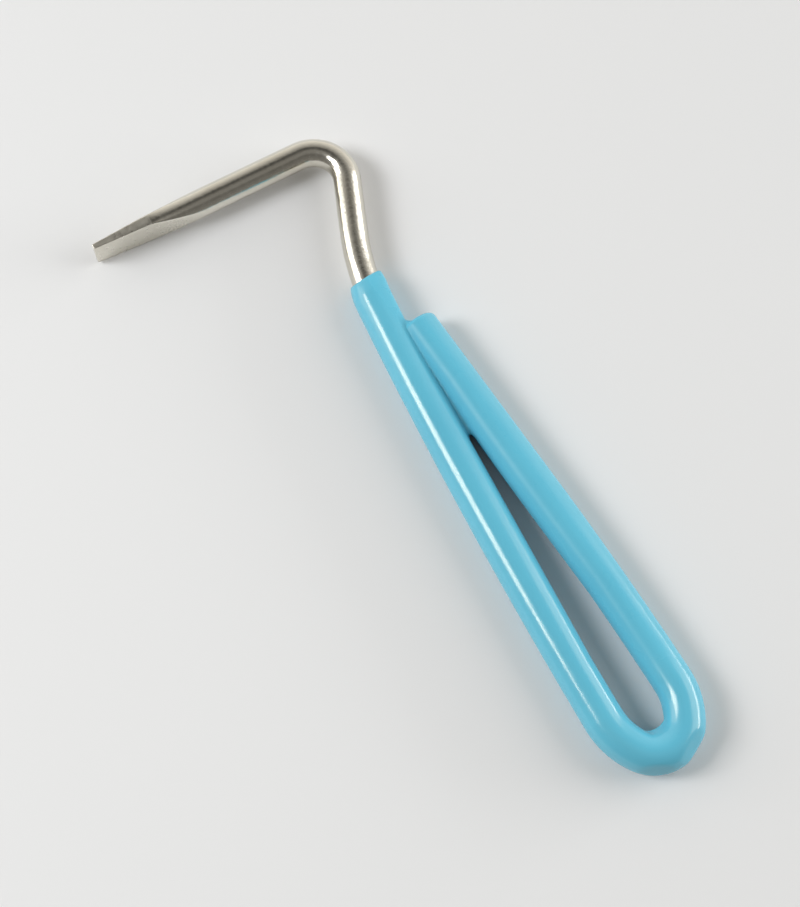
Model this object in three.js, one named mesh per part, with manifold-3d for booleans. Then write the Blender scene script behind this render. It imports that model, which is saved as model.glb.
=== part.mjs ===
// A hoof pick: one steel rod, forged to a chisel at one end and bent into a closed loop handle at the other,
// and the vinyl grip that is dipped over the loop. Millimetres, +Z up. The tool lies flat on its side, so every
// bend is in one level plane. +Y runs along the handle towards the hook, and the hook's arm points along -X.

import * as THREE from "three";
import { mergeVertices } from "three/addons/utils/BufferGeometryUtils.js";
import Module from "manifold-3d";

// ---- Driving dimensions: the steel rod, in the order it is bent, from the chisel's edge to the free end ----
const ROD_RADIUS = 3;
const ARM_HEADING = -0.8; // degrees from +X: the arm is this far from square to the handle
const ARM_LENGTH = 48.3;
const HOOK_RADIUS = 7.3;
const HOOK_ANGLE = 111;
const SHANK_LENGTH = 12.5;
const SETBACK_RADIUS = 58;
const SETBACK_ANGLE = 17.6;
const SHAFT_LENGTH = 98.7;
const SHAFT_BOW = 4.5;
const SHOULDER_RADIUS = 15.2;
const SHOULDER_ANGLE = 36;
const LOOP_END_RADIUS = 6.35;
const LOOP_END_ANGLE = 109.75;
const RETURN_BOW_LENGTH = 47.75;
const RETURN_BOW = 3.25;
const RETURN_LENGTH = 41.9;
const END_CUT_ANGLE = 12; // the free end is sheared this far off square, shorter on the shaft's side

// ---- Driving dimensions: the chisel ----
const EDGE_THICKNESS = 1.2;
const EDGE_WIDTH = 7;
const ROOT_THICKNESS = 2.6;
const ROOT_WIDTH = 7.8;
const BLADE_LENGTH = 13.2;
const NECK_LENGTH = 11; // from the blade's root to the full round rod
const BLADE_CORNER = 0.3; // share of the half thickness that is rounded off along the blade's long edges

// ---- Driving dimensions: the vinyl grip ----
const RIM_DISTANCE = 86; // along the rod, from the chisel's edge to the middle of the grip's rim
const RIM_SLANT = 15; // degrees between the rim and a square cut across the rod
const RIM_COAT = 0.5;
const RIM_TAPER = 6;
const SHAFT_COAT = 1.1;
const LOOP_START_COAT = 1.15;
const LOOP_END_COAT = 1.3;
const RETURN_COAT = 1.1;
const CAP_LENGTH = 1.5; // vinyl beyond the rod's free end
const CAP_ROUNDING = 1.5;
const WEB_HALF_THICKNESS = 2;
const WEB_SHAFT_TOP = 98; // the web's corners, as distances along the rod
const WEB_SHAFT_FOOT = 131;
const WEB_RETURN_FOOT = 282;
const WEB_TOP_SAG = 0.5;
const WEB_FOOT_RISE = 4;
const GAP = 0.2; // clearance between the rod and the grip's bore

// ---- Fineness of the facets ----
const ROD_SIDES = 24;
const GRIP_SIDES = 28;
const DEGREES_PER_RING = 9;
const LONGEST_RING_STEP = 15;
const CAP_STEPS = 4;

const { degToRad, lerp, smoothstep } = THREE.MathUtils;

// ---- The rod's centre line ----

const straight = (length) => ({ length, turn: 0 });

const arc = (radius, degrees) => ({
  length: radius * Math.abs(degToRad(degrees)),
  turn: degToRad(degrees),
});

const bow = (length, degrees) => ({ length, turn: degToRad(degrees) });

// A positive turn is to the left, seen from above, on the way from the chisel to the free end.
const SEGMENTS = [
  straight(ARM_LENGTH),
  arc(HOOK_RADIUS, -HOOK_ANGLE),
  straight(SHANK_LENGTH),
  arc(SETBACK_RADIUS, SETBACK_ANGLE),
  bow(SHAFT_LENGTH, SHAFT_BOW),
  arc(SHOULDER_RADIUS, SHOULDER_ANGLE),
  arc(LOOP_END_RADIUS, LOOP_END_ANGLE),
  arc(SHOULDER_RADIUS, SHOULDER_ANGLE),
  bow(RETURN_BOW_LENGTH, RETURN_BOW),
  straight(RETURN_LENGTH),
];

const lengthUpTo = (count) => SEGMENTS.slice(0, count).reduce((sum, s) => sum + s.length, 0);

const ROD_LENGTH = lengthUpTo(SEGMENTS.length);
const LOOP_START = lengthUpTo(5);
const LOOP_FINISH = lengthUpTo(8);
const LOOP_MIDDLE = (LOOP_START + LOOP_FINISH) / 2;

// The centre line's point and heading at a distance from the chisel's edge. It runs on straight past both ends.
function poseAt(distance) {
  let heading = degToRad(ARM_HEADING);
  const point = new THREE.Vector2();
  let left = distance;
  for (const [index, segment] of SEGMENTS.entries()) {
    const isLast = index === SEGMENTS.length - 1;
    const step = isLast ? left : Math.min(left, segment.length);
    if (segment.turn === 0) {
      point.x += step * Math.cos(heading);
      point.y += step * Math.sin(heading);
    } else {
      const radius = segment.length / segment.turn;
      const turned = heading + step / radius;
      point.x += radius * (Math.sin(turned) - Math.sin(heading));
      point.y -= radius * (Math.cos(turned) - Math.cos(heading));
      heading = turned;
    }
    left -= step;
    if (left <= 0) break;
  }
  return { point, heading };
}

// Distances for the rings of a loft: every segment's ends, with bends and long straights divided evenly.
function ringDistances(from, to) {
  const distances = [from];
  SEGMENTS.forEach((segment, index) => {
    const start = Math.max(lengthUpTo(index), from);
    const end = Math.min(lengthUpTo(index + 1), to);
    if (end <= start) return;
    const turned = Math.abs(THREE.MathUtils.radToDeg(segment.turn)) * ((end - start) / segment.length);
    const steps = Math.max(Math.ceil(turned / DEGREES_PER_RING), Math.ceil((end - start) / LONGEST_RING_STEP));
    for (let i = 1; i <= steps; i += 1) distances.push(lerp(start, end, i / steps));
  });
  if (to > ROD_LENGTH) distances.push(to);
  return distances;
}

// ---- Rings and lofts ----

// One ring of points: a section's [left, up] offsets, set square to the centre line. A slant in degrees moves
// each point along the rod in proportion to how far left it is.
function ringAt(distance, section, slant = 0) {
  const { point, heading } = poseAt(distance);
  const forward = new THREE.Vector3(Math.cos(heading), Math.sin(heading), 0);
  const side = new THREE.Vector3(-forward.y, forward.x, 0);
  const perLeft = Math.tan(degToRad(slant));
  return section.map(([left, up]) =>
    new THREE.Vector3(point.x, point.y, up)
      .addScaledVector(side, left)
      .addScaledVector(forward, left * perLeft),
  );
}

// A rectangle with rounded corners. With the corner as large as both halves it is a circle. The points sit half
// a step inside each corner's arc, so that neighbouring arcs never share a point.
function roundedSection(halfThickness, halfWidth, corner, sides) {
  const perCorner = sides / 4;
  return Array.from({ length: sides }, (_, i) => {
    const quarter = Math.floor(i / perCorner);
    const angle = ((quarter + ((i % perCorner) + 0.5) / perCorner) * Math.PI) / 2;
    const signLeft = quarter === 0 || quarter === 3 ? 1 : -1;
    const signUp = quarter < 2 ? 1 : -1;
    return [
      signLeft * (halfThickness - corner) + corner * Math.cos(angle),
      signUp * (halfWidth - corner) + corner * Math.sin(angle),
    ];
  });
}

const circle = (radius, sides) => roundedSection(radius, radius, radius, sides);

// A closed body through a list of rings, with a flat fan over each end.
function loft(rings) {
  const sides = rings[0].length;
  const positions = rings.flat().flatMap((v) => v.toArray());
  const index = [];
  for (let r = 0; r + 1 < rings.length; r += 1) {
    for (let i = 0; i < sides; i += 1) {
      const j = (i + 1) % sides;
      const [a, b, c, d] = [r * sides + i, r * sides + j, (r + 1) * sides + i, (r + 1) * sides + j];
      index.push(a, b, d, a, d, c);
    }
  }
  const last = (rings.length - 1) * sides;
  for (let i = 1; i + 1 < sides; i += 1) {
    index.push(0, i + 1, i);
    index.push(last, last + i, last + i + 1);
  }
  const geometry = new THREE.BufferGeometry();
  geometry.setAttribute("position", new THREE.Float32BufferAttribute(positions, 3));
  geometry.setIndex(index);
  return geometry;
}

// ---- Joining and cutting ----

const wasm = await Module();
wasm.setup();

function toSolid(geometry) {
  const bare = geometry.clone();
  bare.deleteAttribute("normal");
  bare.deleteAttribute("uv");
  const merged = mergeVertices(bare);
  return new wasm.Manifold(
    new wasm.Mesh({
      numProp: 3,
      vertProperties: merged.attributes.position.array,
      triVerts: new Uint32Array(merged.index.array),
    }),
  );
}

function toGeometry(solid) {
  const mesh = solid.getMesh();
  const geometry = new THREE.BufferGeometry();
  geometry.setAttribute("position", new THREE.BufferAttribute(mesh.vertProperties, 3));
  geometry.setIndex(new THREE.BufferAttribute(mesh.triVerts, 1));
  return geometry;
}

// ---- The steel rod ----

// Both broad faces and both narrow faces of the blade are flat. Behind its root the neck swells back to round.
function rodSection(distance) {
  const blade = Math.min(distance / BLADE_LENGTH, 1);
  const neck = smoothstep(distance, BLADE_LENGTH, BLADE_LENGTH + NECK_LENGTH);
  const halfThickness = lerp(lerp(EDGE_THICKNESS, ROOT_THICKNESS, blade) / 2, ROD_RADIUS, neck);
  const halfWidth = lerp(lerp(EDGE_WIDTH, ROOT_WIDTH, blade) / 2, ROD_RADIUS, neck);
  const corner = halfThickness * lerp(BLADE_CORNER, 1, neck);
  return roundedSection(halfThickness, halfWidth, corner, ROD_SIDES);
}

function steelRod() {
  const neckSteps = 8;
  const blade = [0, BLADE_LENGTH];
  const neck = Array.from({ length: neckSteps }, (_, i) => BLADE_LENGTH + (NECK_LENGTH * (i + 1)) / neckSteps);
  const round = ringDistances(BLADE_LENGTH + NECK_LENGTH, ROD_LENGTH).slice(1);
  const distances = [...blade, ...neck, ...round];
  const rings = distances.map((distance) => {
    const slant = distance === ROD_LENGTH ? -END_CUT_ANGLE : 0;
    return ringAt(distance, rodSection(distance), slant);
  });
  return loft(rings);
}

// ---- The vinyl grip ----

// The coat is thin at the rim, where the handle leaves the vinyl bath, and thickest at the loop's end, where it drains.
function coatAt(distance) {
  const thicknesses = [
    [RIM_DISTANCE, RIM_COAT],
    [RIM_DISTANCE + RIM_TAPER, SHAFT_COAT],
    [LOOP_START, LOOP_START_COAT],
    [LOOP_MIDDLE, LOOP_END_COAT],
    [LOOP_FINISH, RETURN_COAT],
    [Infinity, RETURN_COAT],
  ];
  const after = Math.max(thicknesses.findIndex(([at]) => at > distance), 1);
  const [fromAt, from] = thicknesses[after - 1];
  const [toAt, to] = thicknesses[after];
  return toAt === Infinity ? to : lerp(from, to, (distance - fromAt) / (toAt - fromAt));
}

const sleeveRing = (distance, slant = 0) =>
  ringAt(distance, circle(ROD_RADIUS + coatAt(distance), GRIP_SIDES), slant);

// From the rim, down the shaft, to the loop's end.
function shaftSleeve() {
  const rings = [
    sleeveRing(RIM_DISTANCE, -RIM_SLANT),
    sleeveRing(RIM_DISTANCE + RIM_TAPER / 2),
    ...ringDistances(RIM_DISTANCE + RIM_TAPER, LOOP_MIDDLE).map((distance) => sleeveRing(distance)),
  ];
  return loft(rings);
}

// From the loop's end, up the return leg, to the rounded cap over the rod's free end.
function returnSleeve() {
  const capEnd = ROD_LENGTH + CAP_LENGTH;
  const radius = ROD_RADIUS + RETURN_COAT;
  const capRings = Array.from({ length: CAP_STEPS }, (_, i) => {
    const angle = ((i + 1) / CAP_STEPS) * (Math.PI / 2);
    const inset = CAP_ROUNDING * (1 - Math.cos(angle));
    const along = capEnd - CAP_ROUNDING * (1 - Math.sin(angle));
    return ringAt(along, circle(radius - inset, GRIP_SIDES));
  });
  const rings = ringDistances(LOOP_MIDDLE, capEnd - CAP_ROUNDING).map((distance) => sleeveRing(distance));
  return loft([...rings, ...capRings]);
}

// The vinyl that bridges the narrow end of the loop, between the shaft and the return leg.
function web() {
  const shaftTop = poseAt(WEB_SHAFT_TOP).point;
  const shaftFoot = poseAt(WEB_SHAFT_FOOT).point;
  const returnFoot = poseAt(WEB_RETURN_FOOT).point;
  const returnTop = poseAt(ROD_LENGTH).point;
  const footMiddle = shaftFoot.clone().lerp(returnFoot, 0.5);
  const topMiddle = shaftTop.clone().lerp(returnTop, 0.5);
  const outline = new THREE.Shape();
  outline.moveTo(shaftFoot.x, shaftFoot.y);
  outline.quadraticCurveTo(footMiddle.x, footMiddle.y + WEB_FOOT_RISE * 2, returnFoot.x, returnFoot.y);
  outline.lineTo(returnTop.x, returnTop.y);
  outline.quadraticCurveTo(topMiddle.x, topMiddle.y - WEB_TOP_SAG, shaftTop.x, shaftTop.y);
  const plate = new THREE.ExtrudeGeometry(outline, {
    depth: 2 * WEB_HALF_THICKNESS,
    bevelEnabled: false,
    curveSegments: 8,
  });
  return plate.translate(0, 0, -WEB_HALF_THICKNESS);
}

// The space the rod takes inside the grip, in the same two halves as the sleeves.
function bore() {
  const section = circle(ROD_RADIUS + GAP, ROD_SIDES);
  const outside = RIM_DISTANCE - 2;
  const shaftRings = ringDistances(outside, LOOP_MIDDLE).map((distance) => ringAt(distance, section));
  const returnRings = ringDistances(LOOP_MIDDLE, ROD_LENGTH).map((distance) => ringAt(distance, section));
  returnRings.push(ringAt(ROD_LENGTH + GAP, section, -END_CUT_ANGLE));
  return toSolid(loft(shaftRings)).add(toSolid(loft(returnRings)));
}

function vinylGrip() {
  const outside = toSolid(shaftSleeve()).add(toSolid(returnSleeve())).add(toSolid(web()));
  return toGeometry(outside.subtract(bore()));
}

// ---- Materials and assembly ----

const nickelPlate = new THREE.MeshStandardMaterial({ color: 0xc9c6bd, roughness: 0.28, metalness: 1 });
const blueVinyl = new THREE.MeshStandardMaterial({ color: 0x69bdd8, roughness: 0.22, metalness: 0 });

function piece(name, geometry, material) {
  const mesh = new THREE.Mesh(geometry, material);
  mesh.name = name;
  return mesh;
}

const hoofPick = new THREE.Group();
hoofPick.add(piece("steel_rod", steelRod(), nickelPlate));
hoofPick.add(piece("vinyl_grip", vinylGrip(), blueVinyl));

// The origin is under the middle of the tool, on the surface that it lies on.
const box = new THREE.Box3().setFromObject(hoofPick);
const centre = box.getCenter(new THREE.Vector3());
hoofPick.position.set(-centre.x, -centre.y, -box.min.z);

export default hoofPick;
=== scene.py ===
import math

import bpy
import numpy as np
from mathutils import Matrix, Vector


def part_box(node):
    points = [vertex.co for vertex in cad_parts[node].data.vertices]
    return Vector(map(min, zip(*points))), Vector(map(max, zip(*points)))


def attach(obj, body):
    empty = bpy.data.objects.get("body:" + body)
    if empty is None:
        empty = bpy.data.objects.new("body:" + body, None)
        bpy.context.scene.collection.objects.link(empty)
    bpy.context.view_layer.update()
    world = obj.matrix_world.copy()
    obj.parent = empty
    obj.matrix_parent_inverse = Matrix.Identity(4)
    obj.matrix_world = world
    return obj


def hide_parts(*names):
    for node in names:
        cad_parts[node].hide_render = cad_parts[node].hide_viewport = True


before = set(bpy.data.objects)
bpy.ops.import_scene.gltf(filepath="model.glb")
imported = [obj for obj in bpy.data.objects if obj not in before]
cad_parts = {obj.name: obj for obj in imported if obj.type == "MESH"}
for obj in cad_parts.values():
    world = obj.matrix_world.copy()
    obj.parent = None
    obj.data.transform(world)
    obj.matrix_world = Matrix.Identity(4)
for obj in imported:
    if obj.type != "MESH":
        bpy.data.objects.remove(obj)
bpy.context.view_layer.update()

# A hoof pick: a plated steel rod, forged to a chisel and bent into a loop, with a dipped vinyl grip over the
# loop. Lengths below are millimetres and angles are degrees. The rod's bends lie in one level plane, and the
# whole line is scaled and placed to fill the frame's steel_rod box.

# ---- The rod, in the order it is bent, from the chisel's edge to the free end ----
ROD_RADIUS = 3.0
ARM_HEADING = -0.8
ARM_LENGTH = 48.3
HOOK_RADIUS = 7.3
HOOK_ANGLE = 111
SHANK_LENGTH = 12.5
SETBACK_RADIUS = 58
SETBACK_ANGLE = 17.6
SHAFT_LENGTH = 98.7
SHAFT_BOW = 4.5
SHOULDER_RADIUS = 15.2
SHOULDER_ANGLE = 36
LOOP_END_RADIUS = 6.35
LOOP_END_ANGLE = 109.75
RETURN_BOW_LENGTH = 47.75
RETURN_BOW = 3.25
RETURN_LENGTH = 41.9

# ---- The chisel ----
EDGE_THICKNESS = 1.2
EDGE_WIDTH = 7.0
ROOT_THICKNESS = 2.6
ROOT_WIDTH = 7.8
BLADE_LENGTH = 13.2
WIDENING = 4  # the narrow faces spread apart evenly up to this many blade lengths from the edge
NECK_LENGTH = 13.0
NECK_SLOPE = 0.15
SWELL = 1.15
SWELL_START = 12.6
SWELL_LENGTH = 12.0
FADE = 0.6
CRISPNESS = 24
EDGE_ROUNDING = 0.12

# ---- The grip ----
RIM_DISTANCE = 86.0
RIM_SLANT = 15.0
RIM_LEAN = 0.3  # how far along the rod the rim moves per millimetre of height
RIM_COAT = 0.45
RIM_TAPER = 2.8
RIM_ROUNDING = 0.2
SHAFT_COAT = 1.1
LOOP_START_COAT = 1.15
LOOP_END_COAT = 1.15
RETURN_COAT = 1.1
CAP_LENGTH = 1.6
CAP_ROUNDING = 1.1
INNER_FILL = 0.5  # extra vinyl on the inner sides of the loop, at two places along the rod
SHAFT_FILL_AT = 146.0
SHAFT_FILL_REACH = 34.0
RETURN_FILL_AT = 272.0
RETURN_FILL_REACH = 26.0
WEB_TIP_GAP = 10.0  # between the legs' centre lines, where the web ends
WEB_TOP_THICKNESS = 5.4
WEB_FOOT_THICKNESS = 1.0
WEB_TOP_SLANT = 0.65
WEB_FOOT_STEEPNESS = 3.0
WEB_ROUNDING = 0.6
FILLET = 0.8
# Flats where vinyl drained off the loop's outer side: place along the rod, angle it leans back, and depth.
OUTER_FLAT = (209.9, 40.0, 0.5)
SIDE_FLAT = (210.2, 5.0, 0.42)
BOTTOM_FLAT = (204.0, 20.0, 0.4)
FLAT_ROUNDING = 0.3
BORE_CLEARANCE = 0.03
BORE_ROUNDING = 0.05

# ---- Fineness of the meshes ----
ROD_SIDES = 160
EDGE_RINGS = 4
FIRST_RING = 0.5
BLADE_RINGS = 30
NECK_RINGS = 66
BARE_RINGS = 160
HIDDEN_RINGS = 220
GRID_STEP = 0.35
GRID_MARGIN = 3.0
LINE_SAMPLES = 2000

TAU = 2 * math.pi
# How far back along the rod the rim moves per millimetre to the left.
RIM_SHIFT = math.tan(math.radians(RIM_SLANT))


# ---- The rod's centre line ----


class Segment:
    """One stretch of the line: straight, or turning at an even rate. A positive turn is to the left."""

    def __init__(self, start, heading, begin, length, turn):
        self.start, self.heading, self.begin = start, heading, begin
        self.length, self.turn = length, turn

    def pose(self, along):
        """Points and headings at distances along this stretch."""
        x, y = self.start
        if self.turn == 0:
            heading = np.full_like(along, self.heading)
            return x + along * math.cos(self.heading), y + along * math.sin(self.heading), heading
        radius = self.length / self.turn
        heading = self.heading + along / radius
        px = x + radius * (np.sin(heading) - math.sin(self.heading))
        py = y - radius * (np.cos(heading) - math.cos(self.heading))
        return px, py, heading

    def nearest(self, x, y):
        """Distance along this stretch of the point nearest each (x, y)."""
        dx, dy = x - self.start[0], y - self.start[1]
        ux, uy = math.cos(self.heading), math.sin(self.heading)
        if self.turn == 0:
            return np.clip(dx * ux + dy * uy, 0, self.length)
        radius = self.length / self.turn
        side = math.copysign(1, radius)
        across = side * radius - side * (dy * ux - dx * uy)
        swept = np.arctan2(dx * ux + dy * uy, across)
        return np.clip(swept * side * radius, 0, self.length)


def bends():
    """(length, turn) of every stretch, with the loop's end in two halves."""

    def arc(radius, degrees):
        return radius * math.radians(abs(degrees)), math.radians(degrees)

    half_end = arc(LOOP_END_RADIUS, LOOP_END_ANGLE / 2)
    return [
        (ARM_LENGTH, 0),
        arc(HOOK_RADIUS, -HOOK_ANGLE),
        (SHANK_LENGTH, 0),
        arc(SETBACK_RADIUS, SETBACK_ANGLE),
        (SHAFT_LENGTH, math.radians(SHAFT_BOW)),
        arc(SHOULDER_RADIUS, SHOULDER_ANGLE),
        half_end,
        half_end,
        arc(SHOULDER_RADIUS, SHOULDER_ANGLE),
        (RETURN_BOW_LENGTH, math.radians(RETURN_BOW)),
        (RETURN_LENGTH, 0),
    ]


# Where these stretches come in that list.
SETBACK, LOOP_START, LOOP_MIDDLE = 3, 5, 7


def centre_line():
    """Every stretch of the line, in order."""
    point, heading, begin, line = (0.0, 0.0), math.radians(ARM_HEADING), 0.0, []
    for length, turn in bends():
        segment = Segment(point, heading, begin, length, turn)
        line.append(segment)
        x, y, h = segment.pose(np.array([length], float))
        point, heading, begin = (float(x[0]), float(y[0])), float(h[0]), begin + length
    return line


LINE = centre_line()
ROD_LENGTH = LINE[-1].begin + LINE[-1].length
LOOP_START_AT = LINE[LOOP_START].begin
LOOP_MIDDLE_AT = LINE[LOOP_MIDDLE].begin
LOOP_FINISH_AT = LINE[LOOP_MIDDLE + 2].begin


def pose_at(distances):
    """Points and headings at distances from the chisel's edge."""
    distances = np.asarray(distances, float)
    x, y, heading = (np.zeros_like(distances) for _ in range(3))
    for segment in LINE:
        last = segment is LINE[-1]
        here = (distances >= segment.begin) & (last | (distances < segment.begin + segment.length))
        x[here], y[here], heading[here] = segment.pose(distances[here] - segment.begin)
    return x, y, heading


# ---- From the line's own plane to the frame ----


def fit_to_frame():
    """Metres per millimetre of the line, and where the line's origin lies in the frame."""
    low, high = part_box("steel_rod")
    x, y, _ = pose_at(np.linspace(0, ROD_LENGTH, LINE_SAMPLES))
    unit = (high.y - low.y) / (y.max() - y.min() + 2 * ROD_RADIUS)
    right = unit * (x.max() + ROD_RADIUS)
    top = unit * (y.max() + ROD_RADIUS)
    return unit, np.array([high.x - right, high.y - top, (low.z + high.z) / 2])


UNIT, ORIGIN = fit_to_frame()


def to_frame(points):
    return points * UNIT + ORIGIN


# ---- Mesh helpers ----


def new_object(name, vertices, faces, material, normals=None):
    mesh = bpy.data.meshes.new(name)
    mesh.from_pydata(vertices.tolist(), [], [tuple(map(int, f)) for f in faces])
    mesh.validate()
    mesh.update()
    mesh.polygons.foreach_set("use_smooth", [True] * len(mesh.polygons))
    if normals is not None:
        mesh.normals_split_custom_set_from_vertices(normals.tolist())
    mesh.materials.append(material)
    made = bpy.data.objects.new(name, mesh)
    bpy.context.scene.collection.objects.link(made)
    return made


# ---- The steel rod ----


def blade_section(distance, inset, sides):
    """The rod's section as [left, up] offsets: a circle, cut by two broad faces and two narrow ones.

    The broad faces close in from the neck to the edge, and the steel they squeeze out swells the rod above
    and below. The narrow faces cut it only near the edge.
    """
    angle = (np.arange(sides) + 0.5) / sides * TAU
    cos, sin = np.abs(np.cos(angle)), np.abs(np.sin(angle))
    swell_share = max(1 - max(distance - SWELL_START, 0) / SWELL_LENGTH, 0)
    lift = SWELL * swell_share**2
    round_part = lift * sin + np.sqrt(ROD_RADIUS**2 - (lift * cos) ** 2) - inset
    blade = distance / BLADE_LENGTH
    if blade <= 1:
        half = (EDGE_THICKNESS + (ROOT_THICKNESS - EDGE_THICKNESS) * blade) / 2
    else:
        half = ROOT_THICKNESS / 2 + (distance - BLADE_LENGTH) * NECK_SLOPE
    side = (EDGE_WIDTH + (ROOT_WIDTH - EDGE_WIDTH) * min(blade, WIDENING)) / 2
    closeness = cos / (half - inset)
    if half > ROD_RADIUS:
        closeness = closeness * max(0, 1 - (half - ROD_RADIUS) / FADE)
    limits = (1 / round_part) ** CRISPNESS + closeness**CRISPNESS + (sin / (side - inset)) ** CRISPNESS
    reach = limits ** (-1 / CRISPNESS)
    return reach * np.cos(angle), reach * np.sin(angle)


def rod_rings():
    """(distance, inset) of every ring: fine where the steel is bare, coarse inside the grip."""
    quarter = np.linspace(0, math.pi / 2, EDGE_RINGS)
    rings = [(EDGE_ROUNDING * (1 - math.cos(a)), EDGE_ROUNDING * (1 - math.sin(a))) for a in quarter]
    stretches = (
        (BLADE_LENGTH, BLADE_RINGS),
        (BLADE_LENGTH + NECK_LENGTH, NECK_RINGS),
        (RIM_DISTANCE + RIM_TAPER, BARE_RINGS),
        (ROD_LENGTH, HIDDEN_RINGS),
    )
    begin = FIRST_RING
    rings.append((begin, 0))
    for end, count in stretches:
        rings += [(distance, 0) for distance in np.linspace(begin, end, count)[1:]]
        begin = end
    return rings


def loft(rings):
    """Closed body through rings of equal counts, with a flat cap over each end."""
    count, sides = len(rings), len(rings[0])
    vertices = np.concatenate(rings)
    row = np.arange(count - 1)[:, None] * sides
    i = np.arange(sides)[None, :]
    j = (i + 1) % sides
    walls = np.stack([row + i, row + j, row + sides + j, row + sides + i], -1).reshape(-1, 4)
    first = list(range(sides))[::-1]
    last = [(count - 1) * sides + k for k in range(sides)]
    return vertices, [*walls.tolist(), first, last]


def steel_rod(material):
    rings = []
    for distance, inset in rod_rings():
        left, up = blade_section(distance, inset, ROD_SIDES)
        x, y, heading = pose_at([distance])
        px = x - left * np.sin(heading)
        py = y + left * np.cos(heading)
        rings.append(np.stack([px, py, up], -1))
    vertices, faces = loft(rings)
    rod = new_object("rod", to_frame(vertices), faces, material)
    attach(rod, "root")
    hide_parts("steel_rod")
    return rod


# ---- The vinyl grip, as a field that is negative inside the vinyl ----


def half_line(x, y, first, last):
    """Distance to LINE[first:last], the nearest place along the rod, and how far left of it a point is."""
    best = np.full(np.broadcast(x, y).shape, np.inf)
    place, left = np.zeros_like(best), np.zeros_like(best)
    for segment in LINE[first:last]:
        along = segment.nearest(x, y)
        px, py, heading = segment.pose(along)
        away = np.hypot(x - px, y - py)
        nearer = away < best
        best = np.where(nearer, away, best)
        place = np.where(nearer, segment.begin + along, place)
        side = -(x - px) * np.sin(heading) + (y - py) * np.cos(heading)
        left = np.where(nearer, side, left)
    return best, place, left


def beyond_end(x, y):
    """How far past the rod's free end a point is, measured along the rod."""
    end = LINE[-1]
    ux, uy = math.cos(end.heading), math.sin(end.heading)
    return (x - end.start[0]) * ux + (y - end.start[1]) * uy - end.length


def rounded_and(a, b, rounding):
    """Inside both a and b, with the edge between them rounded."""
    a, b = a + rounding, b + rounding
    outside = np.hypot(np.maximum(a, 0), np.maximum(b, 0))
    return outside + np.minimum(np.maximum(a, b), 0) - rounding


def blended_or(a, b, size):
    """Inside a or b, with a fillet where they meet."""
    h = np.maximum(size - np.abs(a - b), 0) / size
    return np.minimum(a, b) - h * h * size / 4


def coat(place):
    """The vinyl's thickness along the rod."""
    places = [
        RIM_DISTANCE,
        RIM_DISTANCE + RIM_TAPER,
        LOOP_START_AT,
        LOOP_MIDDLE_AT,
        LOOP_FINISH_AT,
    ]
    coats = [SHAFT_COAT, SHAFT_COAT, LOOP_START_COAT, LOOP_END_COAT, RETURN_COAT]
    rim = np.sqrt(np.clip((place - RIM_DISTANCE) / RIM_TAPER, 0, 1))
    return np.interp(place, places, coats) - (SHAFT_COAT - RIM_COAT) * (1 - rim)


def inner_fill(place, left, radial, z):
    """Extra vinyl on the inner sides of both legs, thickest where the opening narrows."""
    shaft_share = np.clip(1 - ((place - SHAFT_FILL_AT) / SHAFT_FILL_REACH) ** 2, 0, 1)
    return_share = np.clip(1 - ((place - RETURN_FILL_AT) / RETURN_FILL_REACH) ** 2, 0, 1)
    facing = np.clip(left / np.maximum(np.hypot(radial, z), 1e-6), 0, 1)
    return INNER_FILL * (shaft_share + return_share) * facing**1.5


def sleeve_fields(x, y, z):
    """The shaft's sleeve, the return leg's sleeve and the planar facts that the web needs."""
    shaft, shaft_place, shaft_left = half_line(x, y, SETBACK, LOOP_MIDDLE)
    back, back_place, back_left = half_line(x, y, LOOP_MIDDLE, len(LINE))
    past = beyond_end(x, y)
    end = LINE[-1]
    ux, uy = math.cos(end.heading), math.sin(end.heading)
    side = np.abs((y - end.start[1]) * ux - (x - end.start[0]) * uy)
    radial = np.where(past > 0, side, back)
    slanted = shaft_place + RIM_SHIFT * shaft_left - RIM_LEAN * z
    shaft_coat = coat(slanted) + inner_fill(shaft_place, shaft_left, shaft, z)
    shaft_sleeve = np.hypot(shaft, z) - ROD_RADIUS - shaft_coat
    rim = (RIM_DISTANCE - slanted) * math.cos(math.radians(RIM_SLANT))
    shaft_sleeve = rounded_and(shaft_sleeve, rim, RIM_ROUNDING)
    back_coat = coat(back_place) + inner_fill(back_place, back_left, back, z)
    back_sleeve = np.hypot(radial, z) - ROD_RADIUS - back_coat
    back_sleeve = rounded_and(back_sleeve, past - CAP_LENGTH, CAP_ROUNDING)
    return shaft_sleeve, back_sleeve, (shaft, back, shaft_left, back_left, past)


def web_field(facts, z):
    """The vinyl plate that fills the narrow end of the loop. It thins towards the opening."""
    shaft, back, shaft_left, back_left, past = facts
    gap = shaft + back
    top_gap = 2 * ROD_RADIUS
    share = np.clip((gap - top_gap) / (WEB_TIP_GAP - top_gap), 0, 1)
    thickness = WEB_TOP_THICKNESS + (WEB_FOOT_THICKNESS - WEB_TOP_THICKNESS) * share
    plate = np.abs(z) - thickness / 2
    between = np.maximum(-shaft_left, -back_left)
    foot = (gap - WEB_TIP_GAP) * WEB_FOOT_STEEPNESS
    top = (past - CAP_LENGTH - WEB_TOP_SLANT * back_left) / math.hypot(1, WEB_TOP_SLANT)
    plate = rounded_and(plate, foot, WEB_ROUNDING)
    plate = rounded_and(plate, top, WEB_ROUNDING)
    return np.maximum(plate, between)


def flat_field(x, y, z, place, lean, depth):
    """A flat on the loop's outer side. It leans back by an angle and lies a depth below the vinyl's skin."""
    at_x, at_y, heading = (float(v[0]) for v in pose_at([place]))
    lean = math.radians(lean)
    outward = (x - at_x) * math.sin(heading) - (y - at_y) * math.cos(heading)
    return outward * math.cos(lean) + z * math.sin(lean) - (ROD_RADIUS + LOOP_END_COAT - depth)


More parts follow.
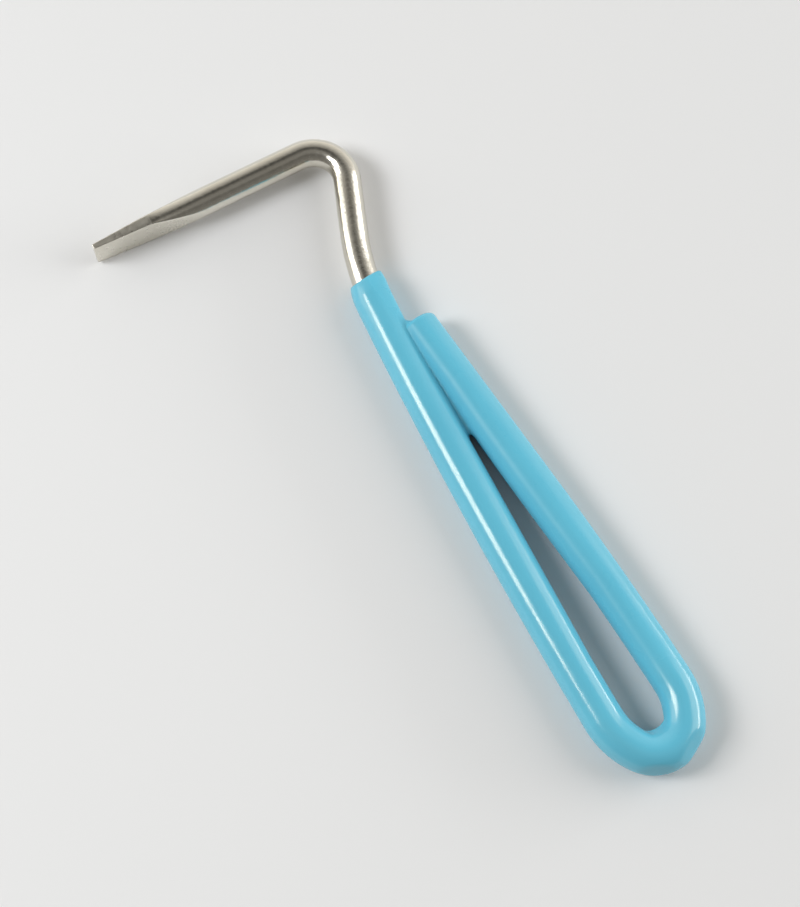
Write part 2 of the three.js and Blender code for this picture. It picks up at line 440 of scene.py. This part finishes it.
def grip_field(x, y, z):
    shaft_sleeve, back_sleeve, facts = sleeve_fields(x, y, z)
    joined = np.minimum(shaft_sleeve, back_sleeve)
    joined = blended_or(joined, web_field(facts, z), FILLET)
    for flat in (OUTER_FLAT, SIDE_FLAT, BOTTOM_FLAT):
        joined = rounded_and(joined, flat_field(x, y, z, *flat), FLAT_ROUNDING)
    shaft, back, past = facts[0], facts[1], facts[4]
    rod = np.minimum(np.hypot(shaft, z), np.hypot(back, z)) - ROD_RADIUS - BORE_CLEARANCE
    rod = np.maximum(rod, np.where(past > 0, past - BORE_CLEARANCE, -1))
    return rounded_and(joined, -rod, BORE_ROUNDING)


def surface_net(values):
    """One vertex in each cell that the surface crosses, and a quad round each crossed edge."""
    inside = values < 0
    shape = tuple(n - 1 for n in values.shape)

    def corner(array, i, j, k):
        return array[i : i + shape[0], j : j + shape[1], k : k + shape[2]]

    total = np.zeros(shape + (3,))
    hits = np.zeros(shape)
    for axis in range(3):
        others = [a for a in range(3) if a != axis]
        for p in range(2):
            for q in range(2):
                low = [0, 0, 0]
                low[others[0]], low[others[1]] = p, q
                high = list(low)
                high[axis] = 1
                a, b = corner(values, *low), corner(values, *high)
                crossed = (a < 0) != (b < 0)
                share = np.where(crossed, a / np.where(crossed, a - b, 1), 0)
                for other in range(3):
                    offset = share if other == axis else low[other]
                    total[..., other] += np.where(crossed, offset, 0)
                hits += crossed
    cells = hits > 0
    number = np.full(shape, -1)
    number[cells] = np.arange(cells.sum())
    vertices = np.argwhere(cells) + total[cells] / hits[cells][:, None]
    quads = []
    for axis in range(3):
        u, v = (axis + 1) % 3, (axis + 2) % 3
        low = [slice(1, -1)] * 3
        high = [slice(1, -1)] * 3
        low[axis], high[axis] = slice(0, -1), slice(1, None)
        a, b = inside[tuple(low)], inside[tuple(high)]
        at = np.argwhere(a != b)
        outward = a[tuple(at.T)]
        base = at + 1
        base[:, axis] = at[:, axis]
        ring = []
        for du, dv in ((-1, -1), (0, -1), (0, 0), (-1, 0)):
            cell = base.copy()
            cell[:, u] += du
            cell[:, v] += dv
            ring.append(number[tuple(cell.T)])
        ring = np.stack(ring, -1)
        quads.append(np.where(outward[:, None], ring, ring[:, ::-1]))
    return vertices, np.concatenate(quads)


def gradient(points, field, reach=0.02):
    slopes = []
    for axis in range(3):
        ahead, behind = points.copy(), points.copy()
        ahead[:, axis] += reach
        behind[:, axis] -= reach
        slopes.append((field(*ahead.T) - field(*behind.T)) / (2 * reach))
    return np.stack(slopes, -1)


def settle(points, field, steps=3):
    """Moves points onto the field's zero surface."""
    for _ in range(steps):
        slope = gradient(points, field)
        steepness = np.maximum((slope**2).sum(1), 0.25)
        move = slope * (field(*points.T) / steepness)[:, None]
        size = np.maximum(np.linalg.norm(move, axis=1, keepdims=True), 1e-9)
        points = points - move * np.minimum(1, 0.5 * GRID_STEP / size)
    return points


def relax(points, quads, share=0.5):
    """Moves each point part of the way to the middle of its neighbours."""
    total, count = np.zeros_like(points), np.zeros(len(points))
    for a in range(4):
        b = (a + 1) % 4
        np.add.at(total, quads[:, a], points[quads[:, b]])
        np.add.at(total, quads[:, b], points[quads[:, a]])
        np.add.at(count, quads[:, a], 1)
        np.add.at(count, quads[:, b], 1)
    return points + share * (total / count[:, None] - points)


def vinyl_grip(material):
    x, y, _ = pose_at(np.linspace(RIM_DISTANCE - GRID_MARGIN, ROD_LENGTH, LINE_SAMPLES // 2))
    reach = ROD_RADIUS + GRID_MARGIN
    axes = []
    for values in (x, y, np.zeros(1)):
        low, high = values.min() - reach, values.max() + reach
        axes.append(np.arange(low, high, GRID_STEP))
    gx, gy, gz = axes[0][:, None, None], axes[1][None, :, None], axes[2][None, None, :]
    values = grip_field(gx, gy, gz)
    cells, quads = surface_net(values)
    points = cells * GRID_STEP + np.array([a[0] for a in axes])
    points = settle(points, grip_field)
    points = settle(relax(points, quads), grip_field)
    normals = gradient(points, grip_field)
    normals /= np.maximum(np.linalg.norm(normals, axis=1, keepdims=True), 1e-9)
    grip = new_object("grip", to_frame(points), quads, material, normals)
    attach(grip, "root")
    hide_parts("vinyl_grip")
    return grip


# ---- Materials ----
GROUND_ROUGHNESS = 0.13
DULLNESS = 0.12
SPECULAR = 0.5
DULL_SPECULAR = 0.12
VINYL_TINT = (1.0, 0.86, 0.66, 1)


class Graph:
    """Short names for building a node tree."""

    def __init__(self, tree):
        self.tree = tree

    def feed(self, socket, value):
        if isinstance(value, bpy.types.NodeSocket):
            self.tree.links.new(value, socket)
        else:
            socket.default_value = value

    def add(self, kind, inputs=None, **settings):
        node = self.tree.nodes.new(kind)
        for key, value in settings.items():
            setattr(node, key, value)
        for key, value in (inputs or {}).items():
            self.feed(node.inputs[key], value)
        return node.outputs

    def remap(self, value, low, high, to_low, to_high, kind="LINEAR"):
        inputs = {"Value": value, "From Min": low, "From Max": high, "To Min": to_low, "To Max": to_high}
        return self.add("ShaderNodeMapRange", inputs, interpolation_type=kind)["Result"]

    def ease(self, value, low, high, to_low, to_high):
        return self.remap(value, low, high, to_low, to_high, "SMOOTHSTEP")

    def maths(self, kind, first, second=0.0):
        return self.add("ShaderNodeMath", {0: first, 1: second}, operation=kind)["Value"]

    def vector_maths(self, kind, first, second):
        """The vector or, for a dot product, the number that comes out."""
        outputs = self.add("ShaderNodeVectorMath", {0: first, 1: second}, operation=kind)
        return outputs["Value"] if kind == "DOT_PRODUCT" else outputs["Vector"]

    def axis(self, vector, name):
        return self.add("ShaderNodeSeparateXYZ", {"Vector": vector})[name]


class Surface(Graph):
    """A new material and its nodes."""

    def __init__(self, name):
        self.material = bpy.data.materials.new(name)
        self.material.use_nodes = True
        super().__init__(self.material.node_tree)
        self.shader = self.tree.nodes["Principled BSDF"]

    def position(self):
        return self.add("ShaderNodeTexCoord")["Object"]

    def facing(self):
        return self.add("ShaderNodeNewGeometry")["True Normal"]

    def noise(self, scale, detail=3.0):
        inputs = {"Vector": self.position(), "Scale": scale, "Detail": detail, "Roughness": 0.5}
        return self.add("ShaderNodeTexNoise", inputs)["Fac"]

    def mix(self, share, first, second):
        """Two colours mixed. Sockets 6, 7 and 2 are the mix node's two colours and its result."""
        return self.add("ShaderNodeMix", {"Factor": share, 6: first, 7: second}, data_type="RGBA")[2]

    def bump(self, height, distance, strength, normal=None):
        inputs = {"Height": height, "Distance": distance, "Strength": strength}
        if normal is not None:
            inputs["Normal"] = normal
        return self.add("ShaderNodeBump", inputs)["Normal"]

    def set(self, **inputs):
        for key, value in inputs.items():
            self.feed(self.shader.inputs[key.replace("_", " ")], value)


def nickel():
    """Bright plating over drawn wire: shallow pits, and a coarser ground finish on the chisel."""
    n = Surface("nickel_plate")
    fine = n.noise(2600.0, 2.0)
    pits = n.noise(1100.0, 3.0)
    wave = n.noise(160.0, 2.0)
    cloud = n.noise(90.0, 4.0)
    normal = n.bump(wave, 0.00006, 0.5)
    normal = n.bump(pits, 0.00004, 0.8, normal)
    normal = n.bump(fine, 0.00001, 0.8, normal)
    colour = n.mix(n.remap(cloud, 0.3, 0.7, 0, 1), (0.70, 0.665, 0.58, 1), (0.76, 0.73, 0.65, 1))
    edge = float(ORIGIN[0])
    root = edge + BLADE_LENGTH * UNIT
    neck = root + NECK_LENGTH * UNIT
    place = n.axis(n.position(), "X")
    blade = n.remap(place, root + 0.4 * UNIT, root, 0, 1)
    level = n.maths("ABSOLUTE", n.axis(n.facing(), "Z"))
    broad = n.maths("MULTIPLY", n.remap(place, neck, root, 0, 1), n.remap(level, 0.2, 0.1, 0, 1))
    ground = n.maths("MAXIMUM", blade, broad)
    plated = n.remap(pits, 0.3, 0.75, 0.12, 0.26)
    n.set(
        Base_Color=colour,
        Metallic=1.0,
        Roughness=n.maths("ADD", plated, n.maths("MULTIPLY", ground, GROUND_ROUGHNESS)),
        Normal=normal,
    )
    return n.material


def vinyl():
    """Glossy dipped vinyl with slow waves and a fine skin, duller on the return leg's inner half."""
    n = Surface("blue_vinyl")
    flow = n.noise(60.0, 2.0)
    skin = n.noise(420.0, 3.0)
    cloud = n.noise(45.0, 3.0)
    normal = n.bump(flow, 0.00025, 0.35)
    normal = n.bump(skin, 0.00004, 0.6, normal)
    colour = n.mix(n.remap(cloud, 0.3, 0.7, 0, 1), (0.125, 0.50, 0.67, 1), (0.135, 0.53, 0.70, 1))
    dull = dull_share(n)
    glossy = n.remap(skin, 0.3, 0.7, 0.14, 0.22)
    n.set(
        Base_Color=colour,
        Roughness=n.maths("ADD", glossy, n.maths("MULTIPLY", dull, DULLNESS)),
        IOR=1.6,
        Specular_IOR_Level=n.remap(dull, 0, 1, SPECULAR, DULL_SPECULAR),
        Specular_Tint=VINYL_TINT,
        Normal=normal,
    )
    return n.material


def dull_share(n):
    """1 on the inner half of the return leg, 0 elsewhere, with soft edges."""
    x, y, heading = (float(v[0]) for v in pose_at([ROD_LENGTH]))
    place = Vector(to_frame(np.array([x, y, 0.0])).tolist())
    along = Vector((-math.cos(heading), -math.sin(heading), 0))
    across = Vector((-along.y, along.x, 0))
    offset = n.vector_maths("SUBTRACT", n.position(), place)
    down = n.vector_maths("DOT_PRODUCT", offset, along)
    right = n.vector_maths("DOT_PRODUCT", offset, across)
    leg = n.remap(right, -5.0 * UNIT, -3.5 * UNIT, 0, 1)
    inner = n.maths("MULTIPLY", leg, n.remap(right, 1.6 * UNIT, 0.2 * UNIT, 0, 1))
    return n.maths("MULTIPLY", inner, n.remap(down, 92 * UNIT, 84 * UNIT, 0, 1))


def paper():
    n = Surface("floor_paper")
    grain = n.noise(400.0, 4.0)
    n.set(
        Base_Color=(0.80, 0.80, 0.80, 1),
        Roughness=0.9,
        Specular_IOR_Level=0.2,
        Normal=n.bump(grain, 0.00002, 0.2),
    )
    return n.material


# ---- Stage, lights and camera. The picture's own axes are the frame's, turned about +Z. ----
CAMERA_TILT = 19.0
CAMERA_DISTANCE = 435.0
CAMERA_TURN = 29.0
CAMERA_LENS = 83.35
AIM = (0.5, 7.47)  # millimetres from the frame's origin, in picture axes
FLOOR_SIZE = 1.6
FLOOR_PARTS = 8
LIGHT_SPREAD = 1.5  # every light is this much farther off, and larger, than its call says
LEFT_LIGHT = 11.0
LEFT_SOFT_LIGHT = 1.7
RIGHT_LIGHT = 7.5
RIGHT_SOFT_LIGHT = 2.0
LIGHT_COLOUR = (0.97, 0.985, 1.0)
ROOM_COLOUR = (1.0, 0.97, 0.91, 1)
ROOM_LEVEL = 0.08
WALL_LEVEL = 0.94
NEAR_WALL_LEVEL = 0.15
OVERHEAD_LEVEL = 0.14
WALL_TOP = 0.92
WALL_FALL = 0.6


def picture_to_frame(x, y, z):
    """The frame's point for millimetres to the picture's right, up the picture along the floor, and upwards.

    They are counted from the point that the camera aims at.
    """
    turn = -math.radians(CAMERA_TURN)
    x, y = x + AIM[0], y + AIM[1]
    return Vector(
        (
            (x * math.cos(turn) - y * math.sin(turn)) * UNIT,
            (x * math.sin(turn) + y * math.cos(turn)) * UNIT,
            z * UNIT,
        )
    )


def camera():
    data = bpy.data.cameras.new("camera")
    data.lens = CAMERA_LENS
    data.sensor_width = 36
    data.clip_start = 0.01
    made = bpy.data.objects.new("camera", data)
    bpy.context.scene.collection.objects.link(made)
    tilt = math.radians(CAMERA_TILT)
    place = picture_to_frame(0, -CAMERA_DISTANCE * math.sin(tilt), CAMERA_DISTANCE * math.cos(tilt))
    aim = picture_to_frame(0, 0, 0)
    made.location = place
    made.rotation_euler = (aim - place).to_track_quat("-Z", "Y").to_euler()
    bpy.context.scene.camera = made


def panel(name, centre, along, width, height, radiance):
    """A rectangular light facing the tool. Its centre and the direction of its height are in picture axes."""
    data = bpy.data.lights.new(name, "AREA")
    data.shape = "RECTANGLE"
    data.size, data.size_y = width * LIGHT_SPREAD * UNIT, height * LIGHT_SPREAD * UNIT
    data.energy = radiance * math.pi * data.size * data.size_y
    data.color = LIGHT_COLOUR
    made = bpy.data.objects.new(name, data)
    bpy.context.scene.collection.objects.link(made)
    place = picture_to_frame(*(LIGHT_SPREAD * value for value in centre))
    back = (place - picture_to_frame(0, 0, 0)).normalized()
    up = picture_to_frame(*along) - picture_to_frame(0, 0, 0)
    side = up.cross(back).normalized()
    up = back.cross(side)
    made.matrix_world = Matrix.Translation(place) @ Matrix((side, up, back)).transposed().to_4x4()


def floor(material):
    """A level sheet of squares, in metres."""
    step = FLOOR_SIZE / FLOOR_PARTS
    row = FLOOR_PARTS + 1
    line = (np.arange(row) - FLOOR_PARTS / 2) * step
    vertices = np.array([(x, y, 0) for y in line for x in line])
    corners = [j * row + i for j in range(FLOOR_PARTS) for i in range(FLOOR_PARTS)]
    faces = [(k, k + 1, k + row + 1, k + row) for k in corners]
    new_object("floor", vertices, faces, material)


def room():
    """Pale walls that fade with height, paler all round than behind the camera, and a dim patch overhead."""
    world = bpy.data.worlds.new("room")
    bpy.context.scene.world = world
    world.use_nodes = True
    n = Graph(world.node_tree)
    direction = n.add("ShaderNodeTexCoord")["Generated"]
    turn = {"Vector": direction, "Axis": (0, 0, 1), "Angle": math.radians(CAMERA_TURN)}
    turned = n.add("ShaderNodeVectorRotate", turn, rotation_type="AXIS_ANGLE")["Vector"]
    up = n.axis(turned, "Z")
    away = n.axis(turned, "Y")
    fall = n.maths("POWER", n.remap(up, WALL_TOP, 0.0, 0.0, 1.0), WALL_FALL)
    wall = n.maths("MULTIPLY", fall, n.ease(away, -0.5, 0.1, NEAR_WALL_LEVEL, WALL_LEVEL))
    patch = n.ease(up, 0.75, 0.97, 0.0, OVERHEAD_LEVEL)
    overhead = n.maths("MULTIPLY", patch, n.ease(away, 0.25, -0.1, 0, 1))
    level = n.maths("ADD", n.maths("ADD", wall, overhead), ROOM_LEVEL)
    background = n.tree.nodes["Background"]
    n.feed(background.inputs["Color"], ROOM_COLOUR)
    n.feed(background.inputs["Strength"], level)


def main():
    steel_rod(nickel())
    vinyl_grip(vinyl())
    floor(paper())
    room()
    panel("light_left", (-447, -36, 428), (106, -104, 118), 230, 265, LEFT_LIGHT)
    panel("light_left_soft", (-600, 110, 260), (0.2, 0, 0.95), 300, 440, LEFT_SOFT_LIGHT)
    panel("light_right", (700, 170, 150), (0, 0, 1), 600, 115, RIGHT_LIGHT)
    panel("light_right_soft", (600, 170, 370), (-0.3, -0.2, 0.9), 600, 560, RIGHT_SOFT_LIGHT)
    camera()
    view = bpy.context.scene.view_settings
    view.view_transform = "Standard"
    view.look = "None"
    view.exposure = 0.0


main()
